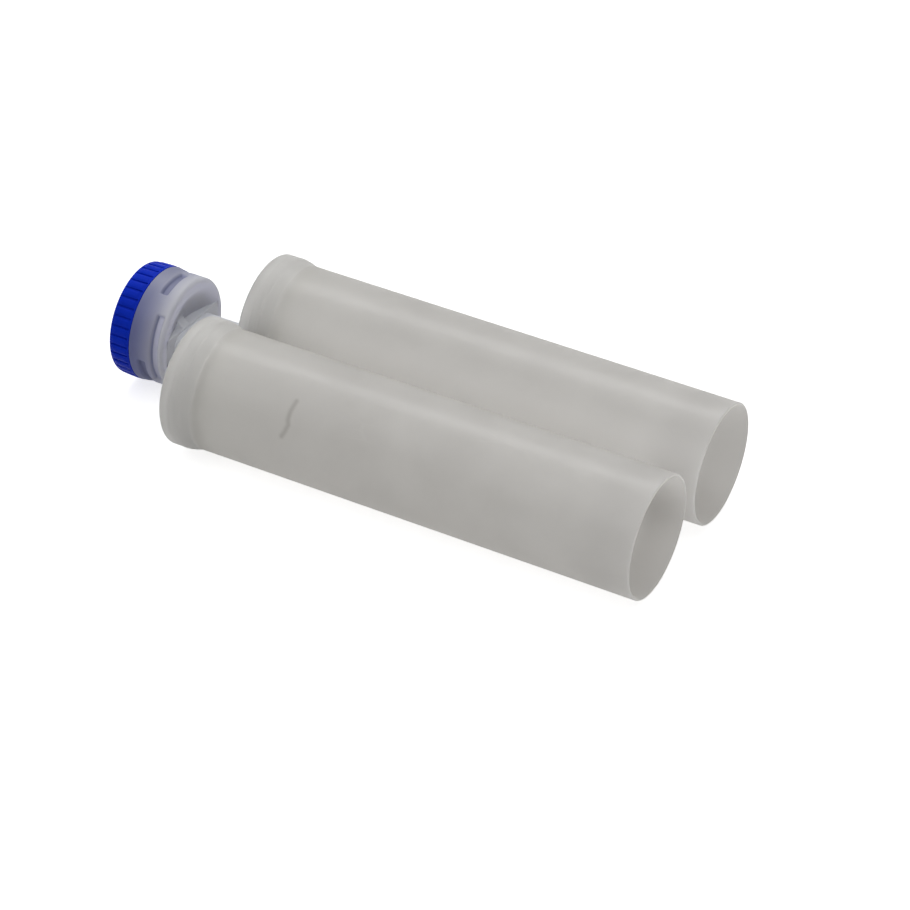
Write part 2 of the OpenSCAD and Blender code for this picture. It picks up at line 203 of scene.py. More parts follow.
class ShaderGroup:
    """A shader node group that reads a place and puts out named values."""

    def __init__(self, name: str, inputs: dict[str, float], outputs: Sequence[str]) -> None:
        """Makes the group's sockets.

        Args:
            name: The group's name.
            inputs: Default value of each input besides the place.
            outputs: Names of the outputs.
        """
        self.tree = bpy.data.node_groups.new(name, "ShaderNodeTree")
        face = self.tree.interface
        face.new_socket("Vector", in_out="INPUT", socket_type="NodeSocketVector")
        for socket, value in inputs.items():
            made = face.new_socket(socket, in_out="INPUT", socket_type="NodeSocketFloat")
            made.default_value = value
        for socket in outputs:
            face.new_socket(socket, in_out="OUTPUT", socket_type="NodeSocketFloat")
        self.wires = Wiring(self.tree)
        self.inside = self.wires.add("NodeGroupInput").outputs

    def close(self, **values: NodeSocket) -> None:
        """Joins values to the group's outputs, by name in lower case."""
        self.wires.add("NodeGroupOutput", {socket_name(key): value for key, value in values.items()})

    def place(self, wires: Wiring, **values: object) -> bpy.types.NodeOutputs:
        """Places the group in a material, with inputs by name in lower case, and gives its outputs."""
        inputs = {socket_name(key): value for key, value in values.items()}
        return wires.add("ShaderNodeGroup", inputs, node_tree=self.tree).outputs


def moulded_grain() -> ShaderGroup:
    """Builds the fine frost, the drawn streaks and the slow clouding of moulded plastic."""
    grain_scale, cloud_scale = 2200.0, 45.0
    drawn_scale, drawn_stretch, drawn_share = 900.0, (0.03, 1.0, 1.0), 0.6
    group = ShaderGroup("moulded_grain", {"Streak": 0.0}, ["Height", "Cloud", "Frost"])
    wires, place = group.wires, group.inside["Vector"]
    fine = wires.noise(place, grain_scale, detail=2.0)
    drawn = wires.noise(wires.stretched(place, drawn_stretch), drawn_scale, detail=2.0)
    group.close(
        height=wires.plus(fine, wires.times(drawn, group.inside["Streak"])),
        cloud=wires.noise(place, cloud_scale, detail=3.0),
        frost=wires.plus(wires.times(drawn, drawn_share), wires.times(fine, 1 - drawn_share)),
    )
    return group


def handling_scuffs() -> ShaderGroup:
    """Builds the sparse hair scratches of a piece that has been handled."""
    bend_scale, bend_reach = 25.0, 0.012
    cell_scale, cell_stretch, cell_turn = 60.0, (0.25, 1.0, 1.0), (0.5, 0.4, 0.3)
    line_edge, line_core = 0.012, 0.002
    patch_scale, patch_edge, patch_core = 38.0, 0.55, 0.72
    group = ShaderGroup("handling_scuffs", {"Amount": 0.0}, ["Mask"])
    wires, place = group.wires, group.inside["Vector"]
    bend = wires.times(wires.noise(place, bend_scale, detail=1.0), bend_reach)
    shifted = wires.vector("ADD", place, wires.join(bend)).outputs["Vector"]
    pattern = {"Vector": wires.stretched(shifted, cell_stretch, cell_turn), "Scale": cell_scale}
    cells = wires.add("ShaderNodeTexVoronoi", pattern, feature="DISTANCE_TO_EDGE")
    line = wires.ramp(cells.outputs["Distance"], line_edge, line_core)
    patch = wires.ramp(wires.noise(place, patch_scale, detail=1.0), patch_edge, patch_core)
    group.close(mask=wires.times(line, patch, group.inside["Amount"]))
    return group


GRAIN = moulded_grain()
SCUFFS = handling_scuffs()
CLOUD_LOW, CLOUD_HIGH = 0.3, 0.7
FROST_SHARE = 0.25
ROUGHNESS_SPREAD = 0.16
SCUFF_ROUGHNESS = 0.12
GRAIN_DEPTH = 0.05 * MM


@dataclass(frozen=True)
class Plastic:
    """A moulded plastic or rubber with grain, clouding and scuffs.

    Attributes:
        name: The material's name.
        light: Its lighter colour.
        dark: The colour that its clouding turns to.
        worn: The colour of its scuffs.
        roughness: Its mean roughness.
        relief: Strength of the grain's bump.
        streak: How much the grain is drawn out along the barrels.
        scuffs: How much its scuffs show.
        through: Share of its surface that lets light through.
        index: Its refractive index.
        specular: Level of its mirror reflection.
    """

    name: str
    light: Colour
    dark: Colour
    worn: Colour
    roughness: float
    relief: float = 0.08
    streak: float = 0.0
    scuffs: float = 0.3
    through: float = 0.0
    index: float = 1.49
    specular: float = 0.5

    def tint(self, wires: Wiring, place: NodeSocket, colour: NodeSocket) -> NodeSocket:
        """Gives the colour as it is: a finish that paints light and shade on it changes it."""
        return colour

    def material(self) -> Material:
        """Builds the material.

        Returns:
            The finished node material.
        """
        made = bpy.data.materials.new(self.name)
        wires = cleared(made)
        place = wires.add("ShaderNodeTexCoord").outputs["Object"]
        grain = GRAIN.place(wires, vector=place, streak=self.streak)
        scuff = SCUFFS.place(wires, vector=place, amount=self.scuffs)["Mask"]
        clouded = wires.mix(wires.ramp(grain["Cloud"], CLOUD_LOW, CLOUD_HIGH), self.light, self.dark)
        frosted = wires.mix(wires.times(grain["Frost"], FROST_SHARE), clouded, self.dark)
        # The finish's tint adds its painted light and painted shade here.
        colour = wires.mix(scuff, self.tint(wires, place, frosted), self.worn)
        smoothest = self.roughness - ROUGHNESS_SPREAD / 2
        spread = wires.math("MULTIPLY_ADD", grain["Frost"], ROUGHNESS_SPREAD, smoothest)
        bump = wires.add("ShaderNodeBump", {
            "Strength": self.relief,
            "Distance": GRAIN_DEPTH,
            "Height": wires.less(grain["Height"], scuff),
        }).outputs[0]
        surface = wires.add("ShaderNodeBsdfPrincipled", {
            "Base Color": colour,
            "Roughness": wires.math("MULTIPLY_ADD", scuff, SCUFF_ROUGHNESS, spread),
            "Normal": bump,
            "IOR": self.index,
            "Specular IOR Level": self.specular,
        }).outputs[0]
        if self.through > 0:
            clear = wires.add("ShaderNodeBsdfTranslucent", {"Color": colour, "Normal": bump}).outputs[0]
            surface = wires.add("ShaderNodeMixShader", {0: self.through, 1: surface, 2: clear}).outputs[0]
        wires.add("ShaderNodeOutputMaterial", {"Surface": surface})
        return made


@dataclass(frozen=True)
class CreaseShade:
    """Painted shade of a crease in a barrel's wall: a dark line along its path, with no dent in the mesh.

    Attributes:
        colour: The colour of the painted shade.
        path: Points along it.
        half_width: Half its width.
        share: How strongly it shows.
    """

    colour: Colour
    path: tuple[Vector, ...]
    half_width: float
    share: float

    def mark(self, wires: Wiring, place: NodeSocket) -> NodeSocket:
        """Finds how strongly the painted shade shows, from the distance to the nearest stretch of its path.

        Args:
            wires: The material's tree.
            place: Object coordinates.

        Returns:
            The socket that carries the share of the painted shade.
        """
        gaps = []
        for start, end in zip(self.path, self.path[1:]):
            run = end - start
            scaled = tuple(run / run.length_squared)
            reach = wires.vector("SUBTRACT", place, tuple(start)).outputs["Vector"]
            along = wires.vector("DOT_PRODUCT", reach, scaled).outputs["Value"]
            held = wires.math("MINIMUM", wires.math("MAXIMUM", along, 0.0), 1.0)
            foot = wires.add("ShaderNodeVectorMath", {0: tuple(run), "Scale": held}, operation="SCALE")
            gaps.append(wires.vector("DISTANCE", reach, foot.outputs["Vector"]).outputs["Value"])
        return wires.times(wires.ramp(wires.fold("MINIMUM", gaps), self.half_width, 0.0), self.share)


@dataclass(frozen=True, kw_only=True)
class BarrelPlastic(Plastic):
    """A barrel's plastic with painted light where the barrels face each other and painted light and shade
    at its ends.

    Attributes:
        axis: A point on the far barrel's axis.
        facing_painted_light: Painted light, a lighter colour where the barrels face each other, for the
            light caught between them.
        facing_from: Distance from the middle plane where that colour starts.
        facing_to: Distance from the middle plane where it is full.
        rear: Painted shading towards the rear: darker inside a barrel's mouth for the shade in its bore,
            lighter on a collar behind its front face.
        rear_from: Place along X where that colour starts.
        rear_to: Place along X where it is full.
        rear_within: Distance from the axis within which it shows.
        rear_soft: Half the width of that limit's soft edge.
        front: Painted light towards the front, a lighter colour that makes up for the shade of the pistons
            inside.
        front_from: Place along X where that colour starts.
        front_to: Place along X where it is full.
        crease: The painted shade of a crease in it, if it has one.
    """

    axis: Vector
    facing_painted_light: Colour
    facing_from: float = 14 * MM
    facing_to: float = 3 * MM
    rear: Colour
    rear_from: float = 84 * MM
    rear_to: float = 98 * MM
    rear_within: float = 21 * MM
    rear_soft: float = 0.2 * MM
    front: Colour
    front_from: float = -10 * MM
    front_to: float = -62 * MM
    crease: CreaseShade | None = None

    def tint(self, wires: Wiring, place: NodeSocket, colour: NodeSocket) -> NodeSocket:
        """Adds the painted light where the barrels face each other, the painted light and shade at the two
        ends and the crease's painted shade.

        Args:
            wires: The material's tree.
            place: Object coordinates.
            colour: The colour without them.

        Returns:
            The socket that carries the tinted colour.
        """
        x, y, z = wires.split(place)
        apart = wires.math("ABSOLUTE", y)
        out = wires.length(wires.less(apart, self.axis.y), wires.less(z, self.axis.z))
        # Painted shading at the rear: darker inside the barrels' mouths, lighter on the collars behind
        # their front face.
        inside = wires.ramp(out, self.rear_within + self.rear_soft, self.rear_within - self.rear_soft)
        rear_shading_share = wires.times(wires.ramp(x, self.rear_from, self.rear_to), inside)
        # Painted light towards the front.
        front_painted_lit = wires.mix(wires.ramp(x, self.front_from, self.front_to), colour, self.front)
        # Painted light where the barrels face each other.
        facing_painted_lit = wires.mix(wires.ramp(apart, self.facing_from, self.facing_to), front_painted_lit, self.facing_painted_light)
        ends_painted = wires.mix(rear_shading_share, facing_painted_lit, self.rear)
        if self.crease is None:
            return ends_painted
        # Painted shade along the crease.
        return wires.mix(self.crease.mark(wires, place), ends_painted, self.crease.colour)


NECK_BACK = Vector((-85.8 * MM, 0.0, 23.0 * MM))
NECK_LENGTH = 13.3 * MM
NECK_RADIUS = 20.25 * MM
SLOT_FLOOR = 19.05 * MM


@dataclass(frozen=True, kw_only=True)
class NeckPlastic(Plastic):
    """The neck's plastic, which the blue shank behind it tints, with painted shade at its sides and in its
    slots and painted light in its dish. Depths are measured from the neck's back.

    Attributes:
        band: The blue at its front, from the shank behind the wall; towards the sides it is painted shade
            as well.
        band_from: Depth where that tint starts.
        band_share: How strong it is at the neck's sides.
        side_share: Share of it that only the sides have, which is painted shade.
        shade: The painted shade in the slots, bluish from the shank behind their floors.
        slot_share: How strong that tint is.
        slot_from: Depth where it starts.
        slot_to: Depth where it is full.
        slot_edge: Distance below the neck's side where it starts.
        slot_base: Distance over the slots' floors where it is full.
        glow: Painted light in the dish, a near white for the light that comes through its floor.
        dish_share: How strong that tint is.
        dish_from: Depth where it starts.
        dish_to: Depth where it is full.
        rim: Radius where the dish ends.
        dish_reach: Distance from the rim over which the dish gets its painted light.
    """

    band: Colour
    band_from: float = -1.0 * MM
    band_share: float = 0.9
    side_share: float = 0.4
    shade: Colour
    slot_share: float = 0.7
    slot_from: float = 1.7 * MM
    slot_to: float = 2.2 * MM
    slot_edge: float = 0.15 * MM
    slot_base: float = 0.1 * MM
    glow: Colour
    dish_share: float = 1.0
    dish_from: float = 4.6 * MM
    dish_to: float = 4.2 * MM
    rim: float = 18.4 * MM
    dish_reach: float = 1.6 * MM

    def tint(self, wires: Wiring, place: NodeSocket, colour: NodeSocket) -> NodeSocket:
        """Adds the blue of the front with painted shade at its sides, the painted shade of the slots and
        the painted light of the dish.

        Args:
            wires: The material's tree.
            place: Object coordinates.
            colour: The colour without them.

        Returns:
            The socket that carries the tinted colour.
        """
        x, y, z = wires.split(wires.vector("SUBTRACT", place, tuple(NECK_BACK)).outputs["Vector"])
        deep = wires.times(x, -1.0)
        out = wires.length(y, z)
        # Painted shade: the band is stronger towards the sides.
        side_shade_share = wires.ramp(wires.math("ABSOLUTE", y), 0.0, NECK_RADIUS)
        side_shade_strength, all_round = self.band_share * self.side_share, self.band_share * (1 - self.side_share)
        strength = wires.math("MULTIPLY_ADD", side_shade_share, side_shade_strength, all_round)
        front = wires.times(wires.ramp(deep, self.band_from, NECK_LENGTH), strength)
        banded = wires.mix(front, colour, self.band)
        # Painted shade in the slots, bluish from the shank behind them.
        pressed = wires.ramp(out, NECK_RADIUS - self.slot_edge, SLOT_FLOOR + self.slot_base)
        slotted = wires.times(pressed, wires.ramp(deep, self.slot_from, self.slot_to), self.slot_share)
        shaded = wires.mix(slotted, banded, self.shade)
        # Painted light in the dish.
        dished = wires.times(
            wires.ramp(out, self.rim + self.dish_reach, self.rim),
            wires.ramp(deep, self.dish_from, self.dish_to),
            self.dish_share,
        )
        return wires.mix(dished, shaded, self.glow)


FAR_AXIS = Vector((0.0, 25.0 * MM, 23.0 * MM))
CREASE_PATH = (
    Vector((-20.3, -39.55, 39.16)) * MM,
    Vector((-21.0, -42.07, 36.48)) * MM,
    Vector((-21.0, -43.75, 34.14)) * MM,
    Vector((-20.4, -44.53, 32.50)) * MM,
    Vector((-21.2, -45.60, 29.97)) * MM,
    Vector((-22.0, -46.08, 28.37)) * MM,
)

# Painted light where the barrels face each other and towards the front, painted shade inside the mouths
# towards the rear.
FROSTED = BarrelPlastic(
    "frosted_barrel_painted_shading", srgb(230.6, 229.7, 228), srgb(226.6, 225.6, 223.8), srgb(238, 237.4, 236),
    roughness=0.32, streak=0.8, scuffs=0.18, relief=0.10, through=0.7, specular=1.0,
    axis=FAR_AXIS, facing_painted_light=srgb(243.5, 242.8, 241.6), rear=srgb(210, 208.6, 206.5),
    front=srgb(233, 232.2, 230.4),
)
# The crease is a dark line of painted shade, with no dent in the mesh.
CREASE_SHADED = replace(
    FROSTED, name="crease_shaded_barrel",
    crease=CreaseShade(srgb(150, 147, 142), CREASE_PATH, half_width=1.5 * MM, share=0.36),
)
# Painted light on the collars: lighter where the barrels face each other and behind their front face.
COLLAR = BarrelPlastic(
    "frosted_collar_painted_light", srgb(228, 227.4, 225.4), srgb(223, 222.4, 220), srgb(236, 235.5, 234),
    roughness=0.34, streak=0.2, scuffs=0.15, relief=0.10, through=0.64, specular=0.45,
    axis=FAR_AXIS, facing_painted_light=srgb(245, 244.5, 243.2), rear=srgb(239, 238.5, 237.2), rear_from=-68.5 * MM,
    rear_to=-65.5 * MM, rear_within=30 * MM, front=srgb(228, 227.4, 225.4),
)
# band is the shank's blue with painted shade at the sides, shade is painted shade in the slots, glow is
# painted light in the dish.
NECK = NeckPlastic(
    "tinted_neck_painted_shading", srgb(231, 231.5, 232), srgb(225, 225.5, 226.5), srgb(237, 237, 238),
    roughness=0.42, scuffs=0.15, through=0.5, specular=0.8,
    band=srgb(118, 126, 188), shade=srgb(132, 137, 178), glow=srgb(250, 250, 255),
)
# Painted light: the stem is made lighter than the neck and barrels, though it is the same plastic, to make
# up for the shade between the collars.
STEM_PAINTED_LIGHT = Plastic(
    "frosted_stem_painted_light", srgb(247, 248, 250), srgb(241, 242, 245), srgb(250, 250, 252),
    roughness=0.44, scuffs=0.15, through=0.5,
)
BLUE = Plastic(
    "blue_cap", srgb(13, 50, 196), srgb(9, 42, 180), srgb(44, 78, 206),
    roughness=0.46, scuffs=0.35, relief=0.10, specular=0.04,
)
STOPPER_BLUE = Plastic(
    "stopper_blue", srgb(30, 52, 176), srgb(20, 38, 150), srgb(70, 90, 190), roughness=0.45,
)
GASKET = Plastic(
    "gasket_rubber", srgb(98, 99, 102), srgb(80, 81, 84), srgb(128, 128, 130),
    roughness=0.68, scuffs=0.4, relief=0.18, index=1.52,
)
WAXY = Plastic(
    "waxy_piston", srgb(242, 241.5, 238), srgb(235, 234.5, 230), srgb(246, 246, 243),
    roughness=0.46, through=0.5,
)
RING = Plastic(
    "ring_rubber", srgb(200, 199.5, 197), srgb(188, 187.5, 185), srgb(212, 211.5, 209),
    roughness=0.6, scuffs=0.2, relief=0.15, through=0.3, index=1.52,
)
PIN = Plastic(
    "pin_plastic", srgb(205, 207, 210), srgb(192, 194, 197), srgb(222, 222, 224),
    roughness=0.38, scuffs=0.2,
)


@dataclass(frozen=True)
class Corner:
    """A corner of a turned profile.

    Attributes:
        along: Its place along X.
        out: Its radius.
        rounding: Radius of its rounding.
        step: Longest stretch between points on the way to the next corner, or 0 for the profile's own.
    """

    along: float
    out: float
    rounding: float = 0.0
    step: float = 0.0

    @property
    def place(self) -> Vector:
        """Its place along X and its radius, as one vector."""
        return Vector((self.along, self.out))


@dataclass
class Profile:
    """An outline that is turned about a line along X.

    Attributes:
        corners: The outline's corners, in order.
        step: The longest stretch between two points.
        arc: Steps on each rounding.
        closed: Whether the last corner joins the first. Otherwise both lie on the line.
        side_share: Largest share of a side that one rounding may take up.
    """

    corners: list[Corner]
    step: float = 4 * MM
    arc: int = 4
    closed: bool = True
    side_share: float = 0.49

    def _rounded(self, number: int) -> list[Vector]:
        """Gives the points of one corner's rounding.

        Args:
            number: The corner's number.

        Returns:
            The points in order, or the corner itself where it is sharp.
        """
        corner = self.corners[number]
        here = corner.place
        if corner.rounding <= 0:
            return [here]
        back = self.corners[number - 1].place - here
        on = self.corners[(number + 1) % len(self.corners)].place - here
        half = back.angle(on) / 2
        longest = min(back.length * self.side_share, on.length * self.side_share)
        reach = min(corner.rounding / math.tan(half), longest)
        start = here + back.normalized() * reach
        end = here + on.normalized() * reach
        pull = math.sin(half)
        points = []
        for place in range(self.arc + 1):
            share = place / self.arc
            first, middle, last = (1 - share) ** 2, 2 * pull * share * (1 - share), share ** 2
            points.append((start * first + here * middle + end * last) / (first + middle + last))
        return points

    def points(self) -> list[Vector]:
        """Gives the whole outline.

        Returns:
            Points of place along X and radius, the first one repeated at the end of a closed outline.
        """
        rounded = [self._rounded(number) for number in range(len(self.corners))]
        full: list[Vector] = []
        for number, corner in enumerate(self.corners):
            full += rounded[number]
            if number + 1 == len(self.corners) and not self.closed:
                return full
            here, there = full[-1], rounded[(number + 1) % len(rounded)][0]
            parts = math.ceil((there - here).length / (corner.step or self.step))
            full += [here.lerp(there, part / parts) for part in range(1, parts)]
        return full + [full[0].copy()]


def new_object(name: str, data: bpy.types.ID) -> Object:
    """Puts an object with this mesh, lamp or camera into the scene at the origin."""
    made = bpy.data.objects.new(name, data)
    bpy.context.scene.collection.objects.link(made)
    return made


def plain_piece(name: str, holder: Object) -> Object:
    """Turns an object with modifiers into a plain mesh piece, and removes the object.

    Args:
        name: Name of the new piece.
        holder: The object with modifiers.

    Returns:
        The new piece, at the origin.
    """
    graph = bpy.context.evaluated_depsgraph_get()
    mesh = bpy.data.meshes.new_from_object(holder.evaluated_get(graph))
    mesh.name = name
    holder.modifiers.clear()
    bpy.data.objects.remove(holder)
    return new_object(name, mesh)


def face_outwards(piece: Object) -> None:
    """Makes the faces of a closed mesh point outwards."""
    work = bmesh.new()
    work.from_mesh(piece.data)
    bmesh.ops.recalc_face_normals(work, faces=work.faces)
    work.to_mesh(piece.data)
    work.free()


class NodeTool:
    """A Geometry Nodes tree that turns a seed mesh into a plain mesh."""

    def __init__(self, name: str, inputs: dict[str, str]) -> None:
        """Makes the tree's sockets.

        Args:
            name: The tree's name.
            inputs: Socket type of each named input besides the geometry and the finish.
        """
        self.tree = bpy.data.node_groups.new(name, "GeometryNodeTree")
        face = self.tree.interface
        kinds = {"Geometry": "NodeSocketGeometry", **inputs, "Finish": "NodeSocketMaterial"}
        self.identifiers = {}
        for socket, kind in kinds.items():
            made = face.new_socket(socket, in_out="INPUT", socket_type=kind)
            self.identifiers[socket] = made.identifier
        face.new_socket("Geometry", in_out="OUTPUT", socket_type="NodeSocketGeometry")
        self.wires = Wiring(self.tree)
        self.inside = self.wires.add("NodeGroupInput").outputs

    def moved(self, geometry: NodeSocket, place: NodeSocket) -> NodeSocket:
        """Moves a mesh's points to places that are measured from the input Axis."""
        where = self.wires.vector("ADD", place, self.inside["Axis"]).outputs["Vector"]
        inputs = {"Geometry": geometry, "Position": where}
        return self.wires.add("GeometryNodeSetPosition", inputs).outputs[0]

    def close(self, geometry: NodeSocket) -> None:
        """Ends the tree in Realize Instances, smooth shading and Set Material.

        Args:
            geometry: What the tree has made.
        """
        plain = self.wires.add("GeometryNodeRealizeInstances", {0: geometry}).outputs[0]
        smooth = self.wires.add("GeometryNodeSetShadeSmooth", {0: plain}).outputs[0]
        finish = {0: smooth, "Material": self.inside["Finish"]}
        dressed = self.wires.add("GeometryNodeSetMaterial", finish).outputs[0]
        self.wires.add("NodeGroupOutput", {0: dressed})

    def run(self, name: str, seed: Mesh, finish: Material, **values: object) -> Object:
        """Runs the tree on a seed mesh.

        Args:
            name: Name of the new piece.
            seed: The mesh that the tree starts from.
            finish: The piece's material.
            values: The inputs, by name in lower case with underscores.

        Returns:
            The new piece, a plain mesh with its faces pointing outwards.
        """
        holder = new_object(name + "_seed", seed)
        modifier = holder.modifiers.new("nodes", "NODES")
        modifier.node_group = self.tree
        for key, value in {"finish": finish, **values}.items():
            modifier[self.identifiers[socket_name(key)]] = value
        piece = plain_piece(name, holder)
        face_outwards(piece)
        return piece


SEAM_WELD = 0.0005 * MM
BORE_TOLERANCE = 0.1 * MM


def turning_tool() -> NodeTool:
    """Builds the tree that turns a profile about a line along X.

    Returns:
        The tool. Its seed's points hold the place along X and, in Z, the radius.
    """
    tool = NodeTool("turned_piece", {"Segments": "NodeSocketInt", "Axis": "NodeSocketVector"})
    wires, seed, segments = tool.wires, tool.inside["Geometry"], tool.inside["Segments"]
    count = wires.add("GeometryNodeAttributeDomainSize", {0: seed}, component="MESH")
    rows = count.outputs["Point Count"]
    counts = {"Vertices X": wires.plus(segments, 1.0), "Vertices Y": rows}
    grid = wires.add("GeometryNodeMeshGrid", counts)
    index = wires.add("GeometryNodeInputIndex").outputs[0]
    column = wires.math("FLOOR", wires.math("DIVIDE", wires.plus(index, 0.5), rows))
    row = wires.less(index, wires.times(column, rows))
    position = wires.add("GeometryNodeInputPosition").outputs[0]
    read = {"Geometry": seed, "Value": position, "Index": row}
    point = wires.add("GeometryNodeSampleIndex", read, data_type="FLOAT_VECTOR", domain="POINT")
    angle = wires.times(wires.math("DIVIDE", column, segments), math.tau)
    turn = wires.add("ShaderNodeVectorRotate", {"Vector": point.outputs[0], "Angle": angle},
                     rotation_type="X_AXIS")
    bent = tool.moved(grid.outputs["Mesh"], turn.outputs[0])
    joined = wires.add("GeometryNodeMergeByDistance", {"Geometry": bent, "Distance": SEAM_WELD})
    tool.close(joined.outputs[0])
    return tool


def pressing_tool(spans: Sequence[tuple[float, float]]) -> NodeTool:
    """Builds the tree that presses slots into a turned neck and cuts the thread tracks in its bore.

    Args:
        spans: The angles in degrees from the track's start at which each slot starts and ends.

    Returns:
        The tool. Angles are in radians, from straight up towards +Y.
    """
    names = ("Lead", "Phase", "Start", "Slot Width", "Slot Floor", "Track Width", "Track Radius", "Bore",
             "Soft")
    kinds = {"Axis": "NodeSocketVector", **dict.fromkeys(names, "NodeSocketFloat")}
    tool = NodeTool("neck_pressing", kinds)
    wires, inside = tool.wires, tool.inside
    lead, start, floor = inside["Lead"], inside["Start"], inside["Slot Floor"]
    place = wires.add("GeometryNodeInputPosition").outputs[0]
    x, y, z = wires.split(wires.vector("SUBTRACT", place, inside["Axis"]).outputs["Vector"])
    deep = wires.times(x, -1.0)
    out = wires.length(y, z)
    angle = wires.less(wires.math("ARCTAN2", y, z), inside["Phase"])
    turn = wires.math("WRAP", angle, math.pi, 0.0)
    rise = wires.math("DIVIDE", lead, math.tau)
    half_soft = wires.times(inside["Soft"], 0.5)

    def within(gap: NodeSocket, width: NodeSocket) -> NodeSocket:
        """Gives 1 inside a band and 0 outside it, with a soft edge."""
        half = wires.times(width, 0.5)
        outer_edge, inner_edge = wires.plus(half, half_soft), wires.less(half, half_soft)
        return wires.ramp(wires.math("ABSOLUTE", gap), outer_edge, inner_edge)

    slots = []
    for first, last in spans:
        middle, width = math.radians((first + last) / 2), math.radians(last - first)
        centre = wires.plus(start, wires.times(rise, middle))
        round_it = wires.math("WRAP", wires.less(turn, middle), math.pi / 2, -math.pi / 2)
        sector = within(wires.times(round_it, out), wires.times(out, width))
        slots.append(wires.times(sector, within(wires.less(deep, centre), inside["Slot Width"])))
    outer = wires.math("GREATER_THAN", out, floor)
    fall = wires.times(wires.less(out, floor), wires.times(wires.fold("MAXIMUM", slots), outer))

    helix = wires.plus(start, wires.times(rise, turn))
    quarter = wires.times(lead, 0.25)
    gap = wires.math("WRAP", wires.less(deep, helix), quarter, wires.times(quarter, -1.0))
    end_at = wires.less(start, wires.times(inside["Track Width"], 0.5))
    run_in = wires.ramp(deep, end_at, wires.plus(end_at, half_soft))
    inner = wires.math("COMPARE", out, inside["Bore"], BORE_TOLERANCE)
    track = wires.times(within(gap, inside["Track Width"]), run_in, inner)
    cut = wires.times(wires.less(inside["Track Radius"], out), track)

    scale = wires.math("DIVIDE", wires.plus(wires.less(out, fall), cut), out)
    pressed = wires.join(x, wires.times(y, scale), wires.times(z, scale))
    tool.close(tool.moved(inside["Geometry"], pressed))
    return tool


def ring_tool() -> NodeTool:
    """Builds the tree that sets copies of its seed round a line along X.

    Returns:
        The tool. The seed stands straight above the line, and the first copy is half a step on.
    """
    tool = NodeTool("ring_of_pads", {"Count": "NodeSocketInt", "Axis": "NodeSocketVector"})
    wires, inside = tool.wires, tool.inside
    row = {"Count": inside["Count"], "Start Location": inside["Axis"], "Offset": (0.0, 0.0, 0.0)}
    points = wires.add("GeometryNodeMeshLine", row)
    index = wires.add("GeometryNodeInputIndex").outputs[0]
    share = wires.math("DIVIDE", wires.plus(index, 0.5), inside["Count"])
    turn = wires.join(wires.times(share, math.tau))
    copies = {"Points": points.outputs[0], "Instance": inside["Geometry"], "Rotation": turn}
    tool.close(wires.add("GeometryNodeInstanceOnPoints", copies).outputs[0])
    return tool


SLOT_SPANS = ((-24.0, 53.0), (76.0, 116.0), (130.0, 179.0))
TURNING = turning_tool()
PRESSING = pressing_tool(SLOT_SPANS)
RINGING = ring_tool()


def turned(name: str, profile: Profile, axis: Vector, segments: int, finish: Material) -> Object:
    """Turns a profile into a piece.

    Args:
        name: Name of the piece.
        profile: Its outline.
        axis: A point on the line along X that it turns about.
        segments: Number of facets round it.
        finish: Its material.

    Returns:
        The piece.
    """
    seed = bpy.data.meshes.new(name + "_profile")
    seed.from_pydata([(p.x, 0.0, p.y) for p in profile.points()], [], [])
    return TURNING.run(name, seed, finish, segments=segments, axis=axis)


def prism(name: str, outline: Sequence[tuple[float, float]], axes: tuple[int, int, int], low: float,
          high: float) -> Object:
    """Draws a flat outline out into a solid.

    Args:
        name: Name of the solid.
        outline: Its corners in order.
        axes: The axes of the outline's two numbers and of the drawing.
        low: Where the drawing starts.
        high: Where it ends.

    Returns:
        The solid.
    """
    points = []
    for level in (low, high):
        for first, second in outline:
            place = [0.0, 0.0, 0.0]
            for axis, value in zip(axes, (first, second, level)):
                place[axis] = value
            points.append(place)
    count = len(outline)
    sides = [(n, (n + 1) % count, count + (n + 1) % count, count + n) for n in range(count)]
    mesh = bpy.data.meshes.new(name)
    mesh.from_pydata(points, [], [tuple(range(count)), tuple(range(count, 2 * count)), *sides])
    made = new_object(name, mesh)
    face_outwards(made)
    return made


def arc(radius: float, middle: tuple[float, float], turns: Sequence[float]) -> list[tuple[float, float]]:
    """Gives the points of a circle at the given angles, in radians."""
    return [(middle[0] + radius * math.cos(turn), middle[1] + radius * math.sin(turn)) for turn in turns]


def worked(name: str, piece: Object, tools: Sequence[Object], cut: Cut) -> Object:
    """Works other solids on a piece and removes them.

    Args:
        name: Name of the result.
        piece: The piece, which is used up.
        tools: The other solids, which are used up.
        cut: Whether they are joined or taken away.

    Returns:
        The result.
    """
    for tool in tools:
        modifier = piece.modifiers.new(tool.name, "BOOLEAN")
        modifier.operation = cut.value
        modifier.solver = "EXACT"
        modifier.object = tool
    made = plain_piece(name, piece)
    for tool in tools:
        bpy.data.objects.remove(tool)
    return made


SHARP_ANGLE = math.radians(40)
SMOOTH_ARC = 8
CUT_OVERRUN = 1.0 * MM
CAP_EDGE = 0.12 * MM
STOPPER_EDGE = 0.15 * MM
PISTON_EDGE = 0.2 * MM
SMALL_EDGE = 0.1 * MM


